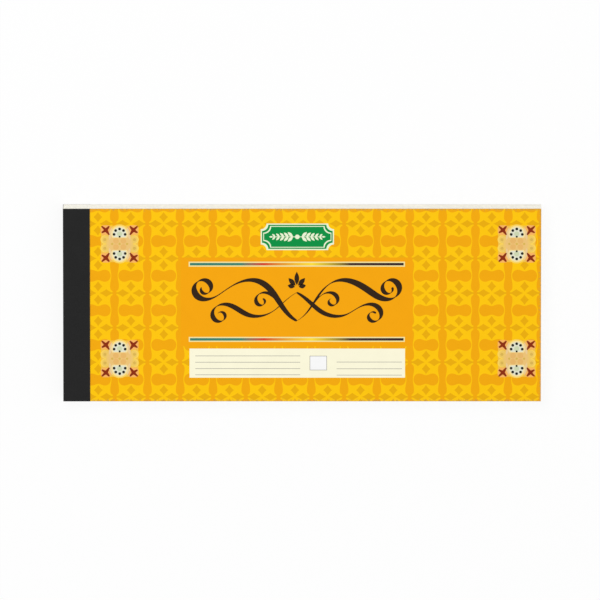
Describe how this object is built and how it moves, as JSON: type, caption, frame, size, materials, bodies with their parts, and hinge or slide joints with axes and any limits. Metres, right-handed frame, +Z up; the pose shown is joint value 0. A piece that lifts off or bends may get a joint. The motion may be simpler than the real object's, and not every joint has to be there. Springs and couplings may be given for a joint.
{
  "type": "duplicate receipt book",
  "caption": "Long landscape duplicate receipt book: patterned card cover, side-stapled and taped spine, perforated white originals over cream duplicates, and a loose carbon sheet.",
  "frame": {"origin": "middle of the closed book, on the surface that it lies on", "axes": "+X from the bound spine to the free edge, +Y up the page, +Z up through the stack to the front cover"},
  "size_m": [0.264, 0.109, 0.012],
  "materials": {
    "cover_card": "printed gloss card",
    "back_board": "uncoated pale board",
    "black_tape": "embossed matt",
    "white_paper": "uncoated",
    "cream_paper": "uncoated",
    "carbon_paper": "waxy",
    "staple_wire": "galvanised"
  },
  "bodies": {
    "binding": {"spine_tape": "black_tape", "binding_staples": "staple_wire", "back_cover": "back_board", "front_cover_margin": "cover_card", "original_margins": "white_paper", "duplicate_margins": "cream_paper"},
    "cover_flap": {"front_cover": "cover_card"},
    "leaf_original_01": {"original_01": "white_paper"},
    "leaf_duplicate_01": {"duplicate_01": "cream_paper"},
    "leaf_original_02": {"original_02": "white_paper"},
    "leaf_duplicate_02": {"duplicate_02": "cream_paper"},
    "leaf_original_03": {"original_03_stub": "white_paper"},
    "leaf_duplicate_03": {"duplicate_03": "cream_paper"},
    "leaf_original_04": {"original_04": "white_paper"},
    "leaf_duplicate_04": {"duplicate_04": "cream_paper"},
    "leaf_original_05": {"original_05": "white_paper"},
    "leaf_duplicate_05": {"duplicate_05": "cream_paper"},
    "bundle_06_to_10": {"originals_06_to_10": "white_paper", "duplicates_06_to_10": "cream_paper"},
    "bundle_11_to_15": {"originals_11_to_15": "white_paper", "duplicates_11_to_15": "cream_paper"},
    "bundle_16_to_20": {"originals_16_to_20": "white_paper", "duplicates_16_to_20": "cream_paper"},
    "bundle_21_to_25": {"originals_21_to_25": "white_paper", "duplicates_21_to_25": "cream_paper"},
    "bundle_26_to_30": {"originals_26_to_30": "white_paper", "duplicates_26_to_30": "cream_paper"},
    "bundle_31_to_35": {"originals_31_to_35": "white_paper", "duplicates_31_to_35": "cream_paper"},
    "bundle_36_to_40": {"originals_36_to_40": "white_paper", "duplicates_36_to_40": "cream_paper"},
    "bundle_41_to_45": {"originals_41_to_45": "white_paper", "duplicates_41_to_45": "cream_paper"},
    "bundle_46_to_50": {"originals_46_to_50": "white_paper", "duplicates_46_to_50": "cream_paper"},
    "receipt_03": {"original_03_receipt": "white_paper"},
    "carbon": {"carbon_sheet": "carbon_paper"}
  },
  "joints": [
    {"name": "front_cover_hinge", "type": "hinge", "parent": "binding", "child": "cover_flap", "pos_m": [-0.1171, 0, 0.01195], "axis": [0, -1, 0], "range_deg": [0, 179]},
    {"name": "original_01_hinge", "type": "hinge", "parent": "binding", "child": "leaf_original_01", "pos_m": [-0.1171, 0, 0.01195], "axis": [0, -1, 0], "range_deg": [0, 176.31]},
    {"name": "duplicate_01_hinge", "type": "hinge", "parent": "binding", "child": "leaf_duplicate_01", "pos_m": [-0.1171, 0, 0.01195], "axis": [0, -1, 0], "range_deg": [0, 173.63]},
    {"name": "original_02_hinge", "type": "hinge", "parent": "binding", "child": "leaf_original_02", "pos_m": [-0.1171, 0, 0.01195], "axis": [0, -1, 0], "range_deg": [0, 170.94]},
    {"name": "duplicate_02_hinge", "type": "hinge", "parent": "binding", "child": "leaf_duplicate_02", "pos_m": [-0.1171, 0, 0.01195], "axis": [0, -1, 0], "range_deg": [0, 168.26]},
    {"name": "original_03_hinge", "type": "hinge", "parent": "binding", "child": "leaf_original_03", "pos_m": [-0.1171, 0, 0.01195], "axis": [0, -1, 0], "range_deg": [0, 17.9]},
    {"name": "duplicate_03_hinge", "type": "hinge", "parent": "binding", "child": "leaf_duplicate_03", "pos_m": [-0.1171, 0, 0.01195], "axis": [0, -1, 0], "range_deg": [0, 15.39]},
    {"name": "original_04_hinge", "type": "hinge", "parent": "binding", "child": "leaf_original_04", "pos_m": [-0.1171, 0, 0.01195], "axis": [0, -1, 0], "range_deg": [0, 13.25]},
    {"name": "duplicate_04_hinge", "type": "hinge", "parent": "binding", "child": "leaf_duplicate_04", "pos_m": [-0.1171, 0, 0.01195], "axis": [0, -1, 0], "range_deg": [0, 11.28]},
    {"name": "original_05_hinge", "type": "hinge", "parent": "binding", "child": "leaf_original_05", "pos_m": [-0.1171, 0, 0.01195], "axis": [0, -1, 0], "range_deg": [0, 9.67]},
    {"name": "duplicate_05_hinge", "type": "hinge", "parent": "binding", "child": "leaf_duplicate_05", "pos_m": [-0.1171, 0, 0.01195], "axis": [0, -1, 0], "range_deg": [0, 8.23]},
    {"name": "bundle_06_to_10_hinge", "type": "hinge", "parent": "binding", "child": "bundle_06_to_10", "pos_m": [-0.1171, 0, 0.01195], "axis": [0, -1, 0], "range_deg": [0, 6.98]},
    {"name": "bundle_11_to_15_hinge", "type": "hinge", "parent": "binding", "child": "bundle_11_to_15", "pos_m": [-0.1171, 0, 0.01195], "axis": [0, -1, 0], "range_deg": [0, 5.91]},
    {"name": "bundle_16_to_20_hinge", "type": "hinge", "parent": "binding", "child": "bundle_16_to_20", "pos_m": [-0.1171, 0, 0.01195], "axis": [0, -1, 0], "range_deg": [0, 5.01]},
    {"name": "bundle_21_to_25_hinge", "type": "hinge", "parent": "binding", "child": "bundle_21_to_25", "pos_m": [-0.1171, 0, 0.01195], "axis": [0, -1, 0], "range_deg": [0, 4.12]},
    {"name": "bundle_26_to_30_hinge", "type": "hinge", "parent": "binding", "child": "bundle_26_to_30", "pos_m": [-0.1171, 0, 0.01195], "axis": [0, -1, 0], "range_deg": [0, 3.22]},
    {"name": "bundle_31_to_35_hinge", "type": "hinge", "parent": "binding", "child": "bundle_31_to_35", "pos_m": [-0.1171, 0, 0.01195], "axis": [0, -1, 0], "range_deg": [0, 2.51]},
    {"name": "bundle_36_to_40_hinge", "type": "hinge", "parent": "binding", "child": "bundle_36_to_40", "pos_m": [-0.1171, 0, 0.01195], "axis": [0, -1, 0], "range_deg": [0, 1.79]},
    {"name": "bundle_41_to_45_hinge", "type": "hinge", "parent": "binding", "child": "bundle_41_to_45", "pos_m": [-0.1171, 0, 0.01195], "axis": [0, -1, 0], "range_deg": [0, 1.07]},
    {"name": "bundle_46_to_50_hinge", "type": "hinge", "parent": "binding", "child": "bundle_46_to_50", "pos_m": [-0.1171, 0, 0.01195], "axis": [0, -1, 0], "range_deg": [0, 0.537]},
    {"name": "receipt_tear_off", "type": "slide", "parent": "leaf_original_03", "child": "receipt_03", "axis": [1, 0, 0], "range_m": [0, 0.25]},
    {"name": "carbon_slide", "type": "slide", "parent": "leaf_duplicate_03", "child": "carbon", "axis": [1, 0, 0], "range_m": [0, 0.25]}
  ],
  "couplings": [
    {"joint": "original_01_hinge", "follows": "front_cover_hinge", "ratio": 0.985},
    {"joint": "duplicate_01_hinge", "follows": "front_cover_hinge", "ratio": 0.97},
    {"joint": "original_02_hinge", "follows": "front_cover_hinge", "ratio": 0.955},
    {"joint": "duplicate_02_hinge", "follows": "front_cover_hinge", "ratio": 0.94},
    {"joint": "original_03_hinge", "follows": "front_cover_hinge", "ratio": 0.1},
    {"joint": "duplicate_03_hinge", "follows": "front_cover_hinge", "ratio": 0.086},
    {"joint": "original_04_hinge", "follows": "front_cover_hinge", "ratio": 0.074},
    {"joint": "duplicate_04_hinge", "follows": "front_cover_hinge", "ratio": 0.063},
    {"joint": "original_05_hinge", "follows": "front_cover_hinge", "ratio": 0.054},
    {"joint": "duplicate_05_hinge", "follows": "front_cover_hinge", "ratio": 0.046},
    {"joint": "bundle_06_to_10_hinge", "follows": "front_cover_hinge", "ratio": 0.039},
    {"joint": "bundle_11_to_15_hinge", "follows": "front_cover_hinge", "ratio": 0.033},
    {"joint": "bundle_16_to_20_hinge", "follows": "front_cover_hinge", "ratio": 0.028},
    {"joint": "bundle_21_to_25_hinge", "follows": "front_cover_hinge", "ratio": 0.023},
    {"joint": "bundle_26_to_30_hinge", "follows": "front_cover_hinge", "ratio": 0.018},
    {"joint": "bundle_31_to_35_hinge", "follows": "front_cover_hinge", "ratio": 0.014},
    {"joint": "bundle_36_to_40_hinge", "follows": "front_cover_hinge", "ratio": 0.01},
    {"joint": "bundle_41_to_45_hinge", "follows": "front_cover_hinge", "ratio": 0.006},
    {"joint": "bundle_46_to_50_hinge", "follows": "front_cover_hinge", "ratio": 0.003}
  ]
}
